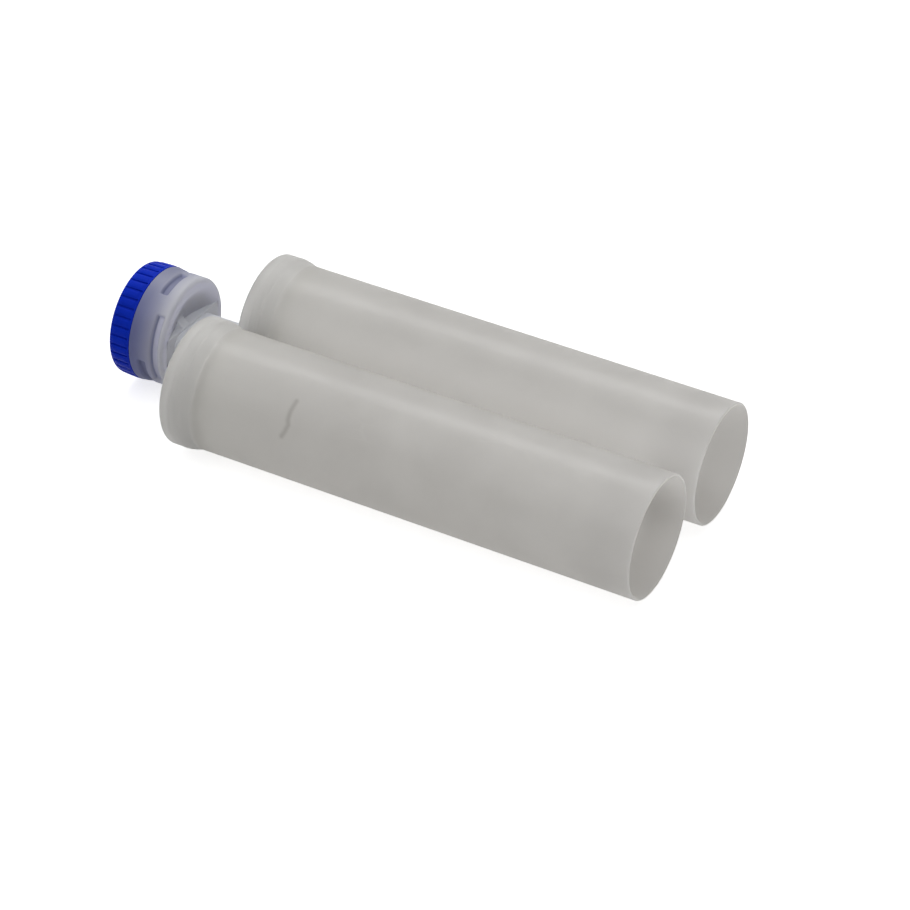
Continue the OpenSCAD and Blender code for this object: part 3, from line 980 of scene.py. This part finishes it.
def rounded_edges(name: str, piece: Object, finish: Material, width: float, segments: int = 2,
                  from_angle: float = 32.0) -> Object:
    """Gives a piece its material and rounds its edges.

    Args:
        name: Name of the result.
        piece: The piece, which is used up.
        finish: Its material.
        width: Width of the rounded edges.
        segments: Steps of the rounding.
        from_angle: Angle in degrees from which an edge counts as one.

    Returns:
        The result, smooth except at edges that are still sharp.
    """
    piece.data.materials.clear()
    piece.data.materials.append(finish)
    bevel = piece.modifiers.new("edges", "BEVEL")
    bevel.width = width
    bevel.segments = segments
    bevel.limit_method = "ANGLE"
    bevel.angle_limit = math.radians(from_angle)
    bevel.use_clamp_overlap = True
    made = plain_piece(name, piece)
    made.data.polygons.foreach_set("use_smooth", [True] * len(made.data.polygons))
    made.data.set_sharp_from_angle(angle=SHARP_ANGLE)
    return made


def axis_between(low: Vector, high: Vector) -> Vector:
    """Gives the point at X = 0 on the line along X through the middle of a box."""
    return Vector((0, (low.y + high.y) / 2, (low.z + high.z) / 2))


@dataclass(kw_only=True)
class SubAssembly:
    """A sub-assembly that is made as one piece.

    Attributes:
        node: The CAD node it stands for, if there is one.
        body: The body it rides on.
        slot: The record's material slot. It is not used.
        piece: The finished piece.
    """

    node: str | None = None
    body: Body = Body.CARTRIDGE
    slot: Slot = Slot.HEAD
    piece: Object = field(init=False)

    def dress(self) -> None:
        """Puts the finished piece on its body, in place of its CAD node."""
        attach(self.piece, self.body.value)
        if self.node:
            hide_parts(self.node)
        faces = len(self.piece.data.polygons)
        LOG.info("%s rides on %s with %d faces", self.piece.name, self.body.value, faces)


@dataclass(kw_only=True)
class Barrel(SubAssembly):
    """One frosted barrel tube.

    Attributes:
        wall: Its wall.
        draft: Length over which the bore widens to its mouth.
        draft_step: How much the bore widens there.
        front_edge: Rounding of the front edges.
        edge: Rounding of the rear edges.
        segments: Facets round it.
    """

    slot: Slot = Slot.BARREL
    wall: float = 1.5 * MM
    draft: float = 14 * MM
    draft_step: float = 0.3 * MM
    front_edge: float = 0.1 * MM
    edge: float = 0.5 * MM
    segments: int = 384

    def build(self, finish: Material) -> None:
        """Turns the tube about its axis.

        Args:
            finish: Its material.
        """
        low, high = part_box(self.node)
        radius = (high.z - low.z) / 2
        bore = radius - self.wall
        corners = [
            Corner(low.x, bore, self.front_edge),
            Corner(low.x, radius, self.front_edge),
            Corner(high.x, radius, self.edge),
            Corner(high.x, bore + self.draft_step, self.edge),
            Corner(high.x - self.draft, bore),
        ]
        axis = axis_between(low, high)
        self.piece = turned(self.node + "_tube", Profile(corners), axis, self.segments, finish)


@dataclass(kw_only=True)
class Collar(SubAssembly):
    """The wider socket of the head round one barrel's front end.

    Attributes:
        side: Name of the barrel's side.
        radius: Its outside radius.
        bore: Radius of the socket.
        front_wall: Thickness of the wall in front of the barrel.
        straight: Length of its straight part.
        taper: Length over which it runs down to the barrel.
        lip: Thickness of the taper's thin end.
        rounding: Rounding of its front edge.
        side_gap: Distance from that rounding to the first point of its side.
        dip: Depth of the fine ring grooves.
        dip_places: Distances of those grooves from its front.
        dip_width: Half a groove's width.
        steps: Points along its side.
        segments: Facets round it.
    """

    side: str
    radius: float = 22.985 * MM
    bore: float = 21.4 * MM
    front_wall: float = 2.5 * MM
    straight: float = 6.0 * MM
    taper: float = 6.6 * MM
    lip: float = 0.28 * MM
    rounding: float = 2.2 * MM
    side_gap: float = 0.2 * MM
    dip: float = 0.1 * MM
    dip_places: tuple[float, ...] = (4.1 * MM, 7.5 * MM)
    dip_width: float = 0.45 * MM
    steps: int = 72
    segments: int = 256

    def _outside(self, distance: float) -> float:
        """Gives the outside radius at a distance from the collar's front.

        Args:
            distance: The distance, past the front rounding.

        Returns:
            The radius there.
        """
        share = min(1.0, max(0.0, (distance - self.straight) / self.taper))
        fall = share * share * (3 - 2 * share)
        base = self.radius - fall * (self.radius - self.bore - self.lip)
        gaps = [(distance - place) / self.dip_width for place in self.dip_places]
        return base - self.dip * sum(math.exp(-gap * gap) for gap in gaps)

    def build(self, finish: Material) -> None:
        """Turns the collar about its barrel's axis.

        Args:
            finish: Its material.
        """
        low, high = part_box(self.side + "_barrel")
        front = low.x - self.front_wall
        corners = [Corner(front, 0.0), Corner(front, self.radius, self.rounding)]
        reach = self.straight + self.taper
        start = self.rounding + self.side_gap
        for number in range(self.steps + 1):
            distance = start + (reach - start) * number / self.steps
            corners.append(Corner(front + distance, self._outside(distance)))
        corners += [Corner(front + reach, self.bore), Corner(low.x, self.bore), Corner(low.x, 0.0)]
        profile = Profile(corners, arc=SMOOTH_ARC, closed=False)
        axis = axis_between(low, high)
        self.piece = turned(self.side + "_collar", profile, axis, self.segments, finish)


@dataclass(kw_only=True)
class Neck(SubAssembly):
    """The slotted outlet neck, with its dished back and threaded bore. It takes the CAD head's place.

    Attributes:
        axis: A point on its axis, in the plane of its back.
        length: Its length.
        radius: Its outside radius.
        rounding: Rounding of its back edge.
        flare: How far it flares out at its front.
        flare_length: Length of that flare.
        flare_rounding: Rounding where the flare starts.
        front_rounding: Rounding of its front edge.
        front_point: Distance over the slots' floors of the point on its front face.
        dish: Radius of the dish.
        dish_depth: Depth of the dish.
        dish_power: Power of the dish's curve.
        dish_steps: Steps from the dish's middle to its rim.
        back_wall: Thickness of its back.
        bore: Radius of its bore.
        platform: Radius of the platform that carries the outlets.
        platform_height: Height of that platform over the back.
        platform_rounding: Rounding of its edge.
        channel: Radius of the two outlets.
        channel_offset: Distance of each outlet from the axis.
        channel_sides: Facets round each outlet.
        lead: Lead of the two-start thread.
        phase: Angle of the thread's start, in degrees from straight up towards +Y.
        start: Distance of the thread's start from the back.
        slot_width: Width of the slots.
        slot_floor: Radius of their floors.
        track_width: Width of the thread tracks.
        track_radius: Their outside radius.
        soft: Width of the slots' rounded edges.
        step: Longest stretch between points where the slots and tracks are pressed.
        segments: Facets round it.
    """

    node: str = "outlet_head"
    axis: Vector = field(default_factory=NECK_BACK.copy)
    length: float = NECK_LENGTH
    radius: float = NECK_RADIUS
    rounding: float = 3.0 * MM
    flare: float = 0.5 * MM
    flare_length: float = 3.5 * MM
    flare_rounding: float = 2.0 * MM
    front_rounding: float = 0.15 * MM
    front_point: float = 0.3 * MM
    dish: float = 16.85 * MM
    dish_depth: float = 4.0 * MM
    dish_power: float = 1.2
    dish_steps: int = 24
    back_wall: float = 1.5 * MM
    bore: float = 17.25 * MM
    platform: float = 15.05 * MM
    platform_height: float = 5.4 * MM
    platform_rounding: float = 0.3 * MM
    channel: float = 2.8 * MM
    channel_offset: float = 7.8 * MM
    channel_sides: int = 48
    lead: float = 13.7 * MM
    phase: float = -100.0
    start: float = 2.9 * MM
    slot_width: float = 2.6 * MM
    slot_floor: float = SLOT_FLOOR
    track_width: float = 2.4 * MM
    track_radius: float = 18.65 * MM
    soft: float = 1.1 * MM
    step: float = 0.25 * MM
    segments: int = 360

    def dish_at(self, out: float) -> float:
        """Gives the dish's depth at a distance from the axis."""
        return self.dish_depth * (1 - min(1.0, out / self.dish) ** 2) ** self.dish_power

    def _profile(self) -> Profile:
        """Gives the outline from the dish's middle round the outside to the platform's middle.

        Returns:
            The outline, whose corners are placed from the neck's back.
        """
        dished = [self.dish * number / self.dish_steps for number in range(self.dish_steps + 1)]
        corners = [
            *(Corner(-self.dish_at(out), out) for out in dished),
            Corner(0.0, self.radius, self.rounding, self.step),
            Corner(self.flare_length - self.length, self.radius, self.flare_rounding, self.step),
            Corner(-self.length, self.radius + self.flare, self.front_rounding),
            Corner(-self.length, self.slot_floor + self.front_point),
            Corner(-self.length, self.bore, step=self.step),
            Corner(-self.back_wall, self.bore),
            Corner(-self.back_wall, self.platform),
            Corner(-self.platform_height, self.platform, self.platform_rounding),
            Corner(-self.platform_height, 0.0),
        ]
        return Profile(corners, arc=SMOOTH_ARC, closed=False)

    def build(self, finish: Material) -> None:
        """Turns the neck, presses its slots and thread, and opens its outlets.

        Args:
            finish: Its material.
        """
        blank = turned("neck_blank", self._profile(), self.axis, self.segments, finish)
        pressed = PRESSING.run(
            "neck_pressed", blank.data, finish, axis=self.axis, lead=self.lead,
            phase=math.radians(self.phase), start=self.start, slot_width=self.slot_width,
            slot_floor=self.slot_floor, track_width=self.track_width, track_radius=self.track_radius,
            bore=self.bore, soft=self.soft,
        )
        bpy.data.objects.remove(blank)
        front = self.axis.x - self.platform_height - CUT_OVERRUN
        outlets = self.outlets(front, self.axis.x + CUT_OVERRUN)
        self.piece = worked("slotted_neck", pressed, outlets, Cut.TAKE_AWAY)

    def outlets(self, front: float, back: float) -> list[Object]:
        """Gives the two solids that open the channels between two places along X.

        Args:
            front: Where they start.
            back: Where they end.

        Returns:
            The two solids.
        """
        turns = [math.tau * number / self.channel_sides for number in range(self.channel_sides)]
        middles = [(side * self.channel_offset, self.axis.z) for side in (-1, 1)]
        return [prism("outlet", arc(self.channel, at, turns), (1, 2, 0), front, back) for at in middles]


@dataclass(kw_only=True)
class Stem(SubAssembly):
    """The flat stem that carries the two channels, with the web and its gussets in the neck's dish.

    Attributes:
        neck: The neck that it carries.
        rear: Where it ends in the collars' front walls.
        bridge_rear: Where the bridge between the collars ends.
        bridge: Half the bridge's width.
        bridge_lap: How far the bridge goes into the stem.
        thick: Half the stem's thickness.
        side_steps: Steps round each of its sides.
        front_lap: How far the stem goes into the web.
        web: Half the web's thickness.
        web_steps: Steps along the web's front.
        sink: How far the web goes into the dish's floor.
        gusset_width: Width of each gusset.
        gusset_height: Height of each gusset.
        gusset_offset: Distance of each gusset from the middle.
        gusset_lap: How far each gusset goes into the web.
        edge: Width of its rounded edges.
        edge_steps: Steps of that rounding.
        edge_angle: Angle in degrees from which an edge is rounded.
    """

    neck: Neck
    rear: float = -68.6 * MM
    bridge_rear: float = -63.5 * MM
    bridge: float = 3.0 * MM
    bridge_lap: float = 0.5 * MM
    thick: float = 4.2 * MM
    side_steps: int = 24
    front_lap: float = 0.6 * MM
    web: float = 5.2 * MM
    web_steps: int = 32
    sink: float = 0.25 * MM
    gusset_width: float = 4.0 * MM
    gusset_height: float = 3.0 * MM
    gusset_offset: float = 4.0 * MM
    gusset_lap: float = 1.0 * MM
    edge: float = 0.45 * MM
    edge_steps: int = 3
    edge_angle: float = 45.0

    def _bar(self) -> Object:
        """Makes the stem itself, a flat bar with round sides.

        Returns:
            The bar.
        """
        outline = []
        for side, first in ((1, -90), (-1, 90)):
            steps = range(self.side_steps + 1)
            turns = [math.radians(first + 180 * number / self.side_steps) for number in steps]
            outline += arc(self.thick, (side * self.neck.channel_offset, self.neck.axis.z), turns)
        return prism("stem_bar", outline, (1, 2, 0), self.neck.axis.x - self.front_lap, self.rear)

    def _web(self) -> Object:
        """Makes the web, whose front follows the dish.

        Returns:
            The web.
        """
        neck = self.neck
        reach = [neck.dish * (2 * number / self.web_steps - 1) for number in range(self.web_steps + 1)]
        floor = [(neck.axis.x - neck.dish_at(abs(y)) - self.sink, y) for y in reach]
        outline = [(neck.axis.x, reach[0]), *floor, (neck.axis.x, reach[-1])]
        return prism("stem_web", outline, (0, 1, 2), neck.axis.z - self.web, neck.axis.z + self.web)

    def _gusset(self, side: int) -> Object:
        """Makes the gusset above the web, or the one below it.

        Args:
            side: 1 for the upper one, -1 for the lower one.

        Returns:
            The gusset.
        """
        back, middle, depth = self.neck.axis.x, self.neck.axis.z, self.neck.dish_depth
        outline = [
            (back, middle + side * (self.web - self.gusset_lap)),
            (back, middle + side * self.web),
            (back - depth, middle + side * (self.web + self.gusset_height)),
            (back - depth, middle + side * (self.web - self.gusset_lap)),
        ]
        low = -side * self.gusset_offset - self.gusset_width / 2
        return prism("stem_gusset", outline, (0, 2, 1), low, low + self.gusset_width)

    def _bridge(self) -> Object:
        """Makes the bridge between the two collars.

        Returns:
            The bridge.
        """
        half, low, high = self.bridge, self.neck.axis.z - self.thick, self.neck.axis.z + self.thick
        outline = [(-half, low), (half, low), (half, high), (-half, high)]
        return prism("stem_bridge", outline, (1, 2, 0), self.rear - self.bridge_lap, self.bridge_rear)

    def build(self, finish: Material) -> None:
        """Joins the stem's forms, opens its channels and rounds its edges.

        Args:
            finish: Its material.
        """
        parts = [self._web(), self._gusset(1), self._gusset(-1), self._bridge()]
        solid = worked("stem_solid", self._bar(), parts, Cut.JOIN)
        front = self.neck.axis.x - self.neck.platform_height
        outlets = self.neck.outlets(front, self.rear + CUT_OVERRUN)
        opened = worked("stem_opened", solid, outlets, Cut.TAKE_AWAY)
        self.piece = rounded_edges(
            "head_stem", opened, finish, self.edge, self.edge_steps, self.edge_angle,
        )


@dataclass(kw_only=True)
class Grip(SubAssembly):
    """The crowned pads between the grooves of the cap's rim.

    Attributes:
        count: Number of pads.
        base: X of the cap's base.
        rim: Width of the plain rim at the base.
        length: Length of the pads.
        radius: The cap's radius at its base.
        draft: How much narrower the cap is at its front.
        height: The cap's height.
        half_angle: Half the angle that a pad takes, in degrees.
        crown: How far a pad's middle stands proud.
        sink: How far its edges go into the cap, and its foot below them.
        side_power: Power of its curve across.
        end_power: Power of its curve along.
        across: Steps across a pad.
        rows: Steps along a pad.
    """

    body: Body = Body.CAP
    slot: Slot = Slot.CAP
    count: int = 36
    base: float = -99.2 * MM
    rim: float = 0.75 * MM
    length: float = 6.6 * MM
    radius: float = 20.8 * MM
    draft: float = 0.3 * MM
    height: float = 8.3 * MM
    half_angle: float = 3.75
    crown: float = 0.14 * MM
    sink: float = 0.12 * MM
    side_power: int = 4
    end_power: int = 8
    across: int = 6
    rows: int = 8

    def _points(self) -> tuple[list[tuple[float, float, float]], list[tuple[float, float, float]]]:
        """Gives the points of one pad, row by row.

        Returns:
            The points of its crowned top, and those of its foot.
        """
        tops, feet = [], []
        for row in range(self.rows + 1):
            along = row / self.rows
            place = self.rim + self.length * along
            surface = self.radius - self.draft * place / self.height
            ends = 1 - (2 * along - 1) ** self.end_power
            for column in range(self.across + 1):
                side = 2 * column / self.across - 1
                turn = math.radians(self.half_angle * side)
                swell = (1 - side ** self.side_power) * ends
                out = surface - self.sink + (self.sink + self.crown) * swell
                for level, into in ((out, tops), (surface - 2 * self.sink, feet)):
                    into.append((self.base - place, level * math.sin(turn), level * math.cos(turn)))
        return tops, feet

    def _pad(self) -> Mesh:
        """Makes one pad, a crowned lens that stands straight above the cap's axis.

        Returns:
            The closed mesh of the pad.
        """
        tops, feet = self._points()
        width, total = self.across + 1, len(tops)
        last = self.rows * width
        faces = []
        for row in range(0, last, width):
            for corner in range(row, row + self.across):
                face = (corner, corner + 1, corner + width + 1, corner + width)
                faces += [face, tuple(total + n for n in reversed(face))]
        border = [
            *range(width),
            *range(width + self.across, total, width),
            *range(total - 2, last - 1, -1),
            *range(last - width, 0, -width),
        ]
        for here, there in zip(border, border[1:] + border[:1]):
            faces.append((here, total + here, total + there, there))
        mesh = bpy.data.meshes.new("grip_pad")
        mesh.from_pydata(tops + feet, [], faces)
        return mesh

    def build(self, finish: Material) -> None:
        """Sets the pads round the cap.

        Args:
            finish: Their material.
        """
        axis = Vector((0.0, NECK_BACK.y, NECK_BACK.z))
        self.piece = RINGING.run("cap_grip_pads", self._pad(), finish, count=self.count, axis=axis)


@dataclass(kw_only=True)
class CadPiece(SubAssembly):
    """A CAD node that shows with rounded edges.

    Attributes:
        edge: Width of its rounded edges.
        weld: Distance within which points of its loose triangles are joined.
        flat: Angle in degrees up to which faces count as flat.
    """

    edge: float = SMALL_EDGE
    weld: float = 0.002 * MM
    flat: float = 0.5

    def build(self, finish: Material) -> None:
        """Copies the node, joins its triangles and rounds its edges.

        Args:
            finish: Its material.
        """
        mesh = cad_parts[self.node].data.copy()
        work = bmesh.new()
        work.from_mesh(mesh)
        bmesh.ops.remove_doubles(work, verts=work.verts, dist=self.weld)
        limit = math.radians(self.flat)
        bmesh.ops.dissolve_limit(work, angle_limit=limit, verts=work.verts, edges=work.edges)
        work.to_mesh(mesh)
        work.free()
        name = self.node + "_moulding"
        self.piece = rounded_edges(name, new_object(name + "_seed", mesh), finish, self.edge)


@dataclass(frozen=True)
class Lamp:
    """A soft lamp.

    Attributes:
        name: Its name.
        place: Its place.
        width: Its size along X.
        depth: Its size across.
        power: Its power in watts.
    """

    name: str
    place: Vector
    width: float
    depth: float
    power: float

    def hang(self, target: Vector) -> None:
        """Hangs the lamp so that it faces a point.

        Args:
            target: The point.
        """
        data = bpy.data.lights.new(self.name, "AREA")
        data.shape = "RECTANGLE"
        data.size = self.width
        data.size_y = self.depth
        data.energy = self.power
        lamp = new_object(self.name, data)
        lamp.location = self.place
        lamp.rotation_mode = "QUATERNION"
        lamp.rotation_quaternion = (self.place - target).to_track_quat("Z", "Y")


@dataclass
class Studio:
    """The floor, the light and the camera.

    Attributes:
        azimuth: The camera's turn round the object, in degrees.
        elevation: Its height above the horizon, in degrees.
        roll: Its turn about its own line of sight, in degrees.
        distance: Its distance from the target.
        target: The point it looks at.
        lens: Its focal length in mm.
        sensor: Width of its sensor in mm.
        floor_size: Side of the floor.
        floor_tone: How much light the floor throws back.
        floor_glow: What is added so that the floor shows white.
        room: Strength of the light from all round.
        lamps: The lamps.
    """

    azimuth: float = 26.66
    elevation: float = 33.81
    roll: float = 3.13
    distance: float = 1.1087
    target: Vector = field(default_factory=lambda: Vector((0.02540, -0.01101, 0.01784)))
    lens: float = 129.96
    sensor: float = 36.0
    floor_size: float = 6.0
    floor_tone: float = 0.72
    floor_glow: float = 0.75
    room: float = 0.20
    lamps: tuple[Lamp, ...] = (
        Lamp("panel_lamp", Vector((-0.15, -0.30, 1.05)), width=1.6, depth=2.1, power=8.4),
        Lamp("strip_lamp", Vector((-0.30, 0.55, 0.95)), width=0.9, depth=0.35, power=4.2),
    )

    def camera(self) -> None:
        """Places the camera at the photograph's viewpoint."""
        turn, rise, roll = (math.radians(v) for v in (self.azimuth, self.elevation, self.roll))
        level = Vector((math.cos(turn), math.sin(turn), 0))
        flat = Vector((math.sin(turn), -math.cos(turn), 0))
        back = flat * math.cos(rise) + Vector((0, 0, math.sin(rise)))
        upright = back.cross(level)
        right = level * math.cos(roll) + upright * math.sin(roll)
        up = upright * math.cos(roll) - level * math.sin(roll)
        data = bpy.data.cameras.new("photo_camera")
        data.sensor_width = self.sensor
        data.lens = self.lens
        camera = new_object("photo_camera", data)
        place = Matrix.Translation(self.target + back * self.distance)
        camera.matrix_world = place @ Matrix((right, up, back)).transposed().to_4x4()
        bpy.context.scene.camera = camera

    def seen(self, wires: Wiring) -> NodeSocket:
        """Gives 1 where the background is looked at, straight, in a reflection or through a wall."""
        path = wires.add("ShaderNodeLightPath").outputs
        rays = ("Is Glossy Ray", "Is Transmission Ray", "Is Camera Ray")
        return wires.fold("MAXIMUM", [path[ray] for ray in rays])

    def floor(self) -> None:
        """Lays the pale floor, which shows white to the camera and keeps the shadow."""
        half = self.floor_size / 2
        corners = [(-half, -half, 0), (half, -half, 0), (half, half, 0), (-half, half, 0)]
        mesh = bpy.data.meshes.new("floor")
        mesh.from_pydata(corners, [], [(0, 1, 2, 3)])
        made = bpy.data.materials.new("pale_floor")
        wires = cleared(made)
        tone = (self.floor_tone, self.floor_tone, self.floor_tone, 1)
        matt = wires.add("ShaderNodeBsdfDiffuse", {"Color": tone}).outputs[0]
        strength = wires.times(self.seen(wires), self.floor_glow)
        glow = wires.add("ShaderNodeEmission", {"Strength": strength}).outputs[0]
        both = wires.add("ShaderNodeAddShader", {0: matt, 1: glow}).outputs[0]
        wires.add("ShaderNodeOutputMaterial", {"Surface": both})
        mesh.materials.append(made)
        new_object("floor", mesh)

    def light(self) -> None:
        """Hangs the lamps and sets the pale surroundings."""
        for lamp in self.lamps:
            lamp.hang(self.target)
        world = bpy.data.worlds.new("pale_room")
        bpy.context.scene.world = world
        wires = cleared(world)
        strength = wires.math("MAXIMUM", self.seen(wires), self.room)
        room = wires.add("ShaderNodeBackground", {"Color": (1, 1, 1, 1), "Strength": strength}).outputs[0]
        wires.add("ShaderNodeOutputWorld", {"Surface": room})

    def build(self) -> None:
        """Sets up the whole studio."""
        self.camera()
        self.floor()
        self.light()
        bpy.context.scene.view_settings.view_transform = "Standard"


PLUNGERS = {"near": Body.NEAR_PLUNGER, "far": Body.FAR_PLUNGER}
VENTS = {"near": Body.NEAR_VENT, "far": Body.FAR_VENT}


def main() -> None:
    """Builds every sub-assembly in order."""
    logging.basicConfig(level=logging.INFO, format="%(name)s: %(message)s")
    Studio().build()
    collar, blue, stopper = COLLAR.material(), BLUE.material(), STOPPER_BLUE.material()
    neck = Neck()
    pieces = [
        (Barrel(node="near_barrel"), CREASE_SHADED.material()),
        (Barrel(node="far_barrel"), FROSTED.material()),
        (Collar(side="near"), collar),
        (Collar(side="far"), collar),
        (neck, NECK.material()),
        (Stem(neck=neck), STEM_PAINTED_LIGHT.material()),
        (CadPiece(node="screw_cap", body=Body.CAP, slot=Slot.CAP, edge=CAP_EDGE), blue),
        (Grip(), blue),
        (CadPiece(node="outlet_stopper", body=Body.STOPPER, slot=Slot.STOPPER, edge=STOPPER_EDGE), stopper),
        (CadPiece(node="stopper_gasket", body=Body.STOPPER, slot=Slot.GASKET), GASKET.material()),
    ]
    pairs = [
        ("_piston", PLUNGERS, Slot.PISTON, PISTON_EDGE, WAXY.material()),
        ("_piston_ring", PLUNGERS, Slot.RING, SMALL_EDGE, RING.material()),
        ("_vent_pin", VENTS, Slot.PIN, SMALL_EDGE, PIN.material()),
    ]
    for part, bodies, slot, edge, finish in pairs:
        for side, body in bodies.items():
            pieces.append((CadPiece(node=side + part, body=body, slot=slot, edge=edge), finish))
    for piece, finish in pieces:
        piece.build(finish)
        piece.dress()


if __name__ == "__main__":
    main()
